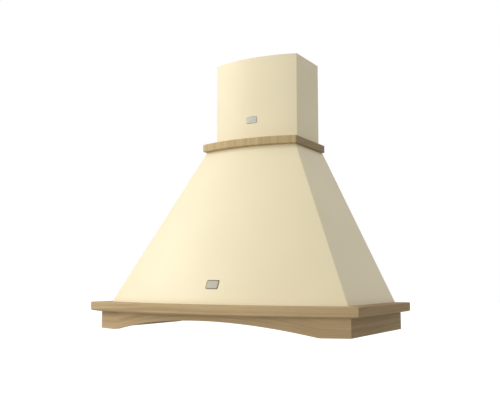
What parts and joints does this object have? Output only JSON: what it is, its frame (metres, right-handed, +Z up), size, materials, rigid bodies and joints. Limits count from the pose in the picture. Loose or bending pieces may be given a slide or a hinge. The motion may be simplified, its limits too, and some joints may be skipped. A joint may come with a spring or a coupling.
{
  "type": "wooden range hood cover",
  "caption": "Wall-mounted bow-fronted cooker hood: cream enamelled canopy and telescoping chimney with oak cornice, arched oak frieze and oak neck moulding.",
  "frame": {"origin": "middle of the wall fixing line, on the back panel's rear face, 330 mm above the frieze's lower edge", "axes": "+Y into the wall, the front faces -Y, +X to the right as seen from the room, +Z up"},
  "size_m": [0.9, 0.52, 0.87],
  "materials": {
    "oak": "satin lacquered",
    "oak_rough": "sawn",
    "cream_enamel": "satin enamel",
    "grey_enamel": "satin enamel",
    "galvanised": "dull",
    "filter_aluminium": "satin",
    "mesh_aluminium": "expanded mesh",
    "black_plastic": "matt",
    "dark_plastic": "matt",
    "button_plastic": "semi-gloss",
    "wheel_plastic": "matt",
    "motor_steel": "satin",
    "bright_steel": "bright zinc",
    "satin_steel": "satin",
    "lamp_glass": "frosted",
    "white_plastic": "matt",
    "plate_metal": "satin, bare"
  },
  "bodies": {
    "hood": {"frieze_front": "oak", "frieze_left": "oak", "frieze_right": "oak", "cornice_front": "oak", "cornice_left": "oak", "cornice_right": "oak", "neck_front": "oak", "neck_left": "oak", "neck_right": "oak", "corner_blocks": "oak_rough", "front_spacers": "oak_rough", "canopy_shell": "cream_enamel", "chimney_lower": "cream_enamel", "back_panel": "grey_enamel", "underside_pan": "grey_enamel", "chimney_bracket": "galvanised", "blower_hanger_left": "galvanised", "blower_hanger_right": "galvanised", "motor_bracket": "galvanised", "lamp_bezel_left": "satin_steel", "lamp_glass_left": "lamp_glass", "lamp_body_left": "galvanised", "scroll_left": "dark_plastic", "lamp_bezel_right": "satin_steel", "lamp_glass_right": "lamp_glass", "lamp_body_right": "galvanised", "scroll_right": "dark_plastic", "control_bezel": "black_plastic", "switch_box": "dark_plastic", "motor": "motor_steel", "inlet_guard": "dark_plastic", "outlet_collar": "dark_plastic", "flap_pins": "bright_steel", "scroll_screws": "bright_steel", "board_screws": "bright_steel", "terminal_box": "dark_plastic", "cable_gland": "black_plastic", "capacitor": "white_plastic", "canopy_plate": "plate_metal", "chimney_plate": "plate_metal"},
    "chimney_top": {"chimney_upper": "cream_enamel"},
    "wheel": {"impeller": "wheel_plastic", "motor_shaft": "bright_steel"},
    "front_flap": {"flap_front": "wheel_plastic"},
    "back_flap": {"flap_back": "wheel_plastic"},
    "left_filter": {"filter_frame_left": "filter_aluminium", "filter_mesh_left": "mesh_aluminium"},
    "right_filter": {"filter_frame_right": "filter_aluminium", "filter_mesh_right": "mesh_aluminium"},
    "left_latch": {"filter_latch_left": "black_plastic"},
    "right_latch": {"filter_latch_right": "black_plastic"},
    "push_button_1": {"button_1": "button_plastic"},
    "push_button_2": {"button_2": "button_plastic"},
    "push_button_3": {"button_3": "button_plastic"},
    "push_button_4": {"button_4": "button_plastic"},
    "push_button_5": {"button_5": "button_plastic"}
  },
  "joints": [
    {"name": "chimney_slide", "type": "slide", "parent": "hood", "child": "chimney_top", "axis": [0, 0, 1], "range_m": [0, 0.24]},
    {"name": "wheel_spin", "type": "hinge", "parent": "hood", "child": "wheel", "pos_m": [0, -0.1605, -0.125], "axis": [1, 0, 0], "continuous": true},
    {"name": "front_flap_hinge", "type": "hinge", "parent": "hood", "child": "front_flap", "pos_m": [0, -0.094, 0.003], "axis": [-1, 0, 0], "range_deg": [0, 80]},
    {"name": "back_flap_hinge", "type": "hinge", "parent": "hood", "child": "back_flap", "pos_m": [0, -0.086, 0.003], "axis": [1, 0, 0], "range_deg": [0, 80]},
    {"name": "left_filter_hinge", "type": "hinge", "parent": "hood", "child": "left_filter", "pos_m": [0, -0.06, -0.277], "axis": [1, 0, 0], "range_deg": [0, 80]},
    {"name": "left_latch_slide", "type": "slide", "parent": "left_filter", "child": "left_latch", "axis": [0, 1, 0], "range_m": [0, 0.005], "stiffness_N_per_m": 400, "springref_m": -0.002},
    {"name": "right_filter_hinge", "type": "hinge", "parent": "hood", "child": "right_filter", "pos_m": [0, -0.06, -0.277], "axis": [1, 0, 0], "range_deg": [0, 80]},
    {"name": "right_latch_slide", "type": "slide", "parent": "right_filter", "child": "right_latch", "axis": [0, 1, 0], "range_m": [0, 0.005], "stiffness_N_per_m": 400, "springref_m": -0.002},
    {"name": "button_1_press", "type": "slide", "parent": "hood", "child": "push_button_1", "axis": [0, 0, 1], "range_m": [0, 0.003], "stiffness_N_per_m": 300, "springref_m": -0.002},
    {"name": "button_2_press", "type": "slide", "parent": "hood", "child": "push_button_2", "axis": [0, 0, 1], "range_m": [0, 0.003], "stiffness_N_per_m": 300, "springref_m": -0.002},
    {"name": "button_3_press", "type": "slide", "parent": "hood", "child": "push_button_3", "axis": [0, 0, 1], "range_m": [0, 0.003], "stiffness_N_per_m": 300, "springref_m": -0.002},
    {"name": "button_4_press", "type": "slide", "parent": "hood", "child": "push_button_4", "axis": [0, 0, 1], "range_m": [0, 0.003], "stiffness_N_per_m": 300, "springref_m": -0.002},
    {"name": "button_5_press", "type": "slide", "parent": "hood", "child": "push_button_5", "axis": [0, 0, 1], "range_m": [0, 0.003], "stiffness_N_per_m": 300, "springref_m": -0.002}
  ]
}
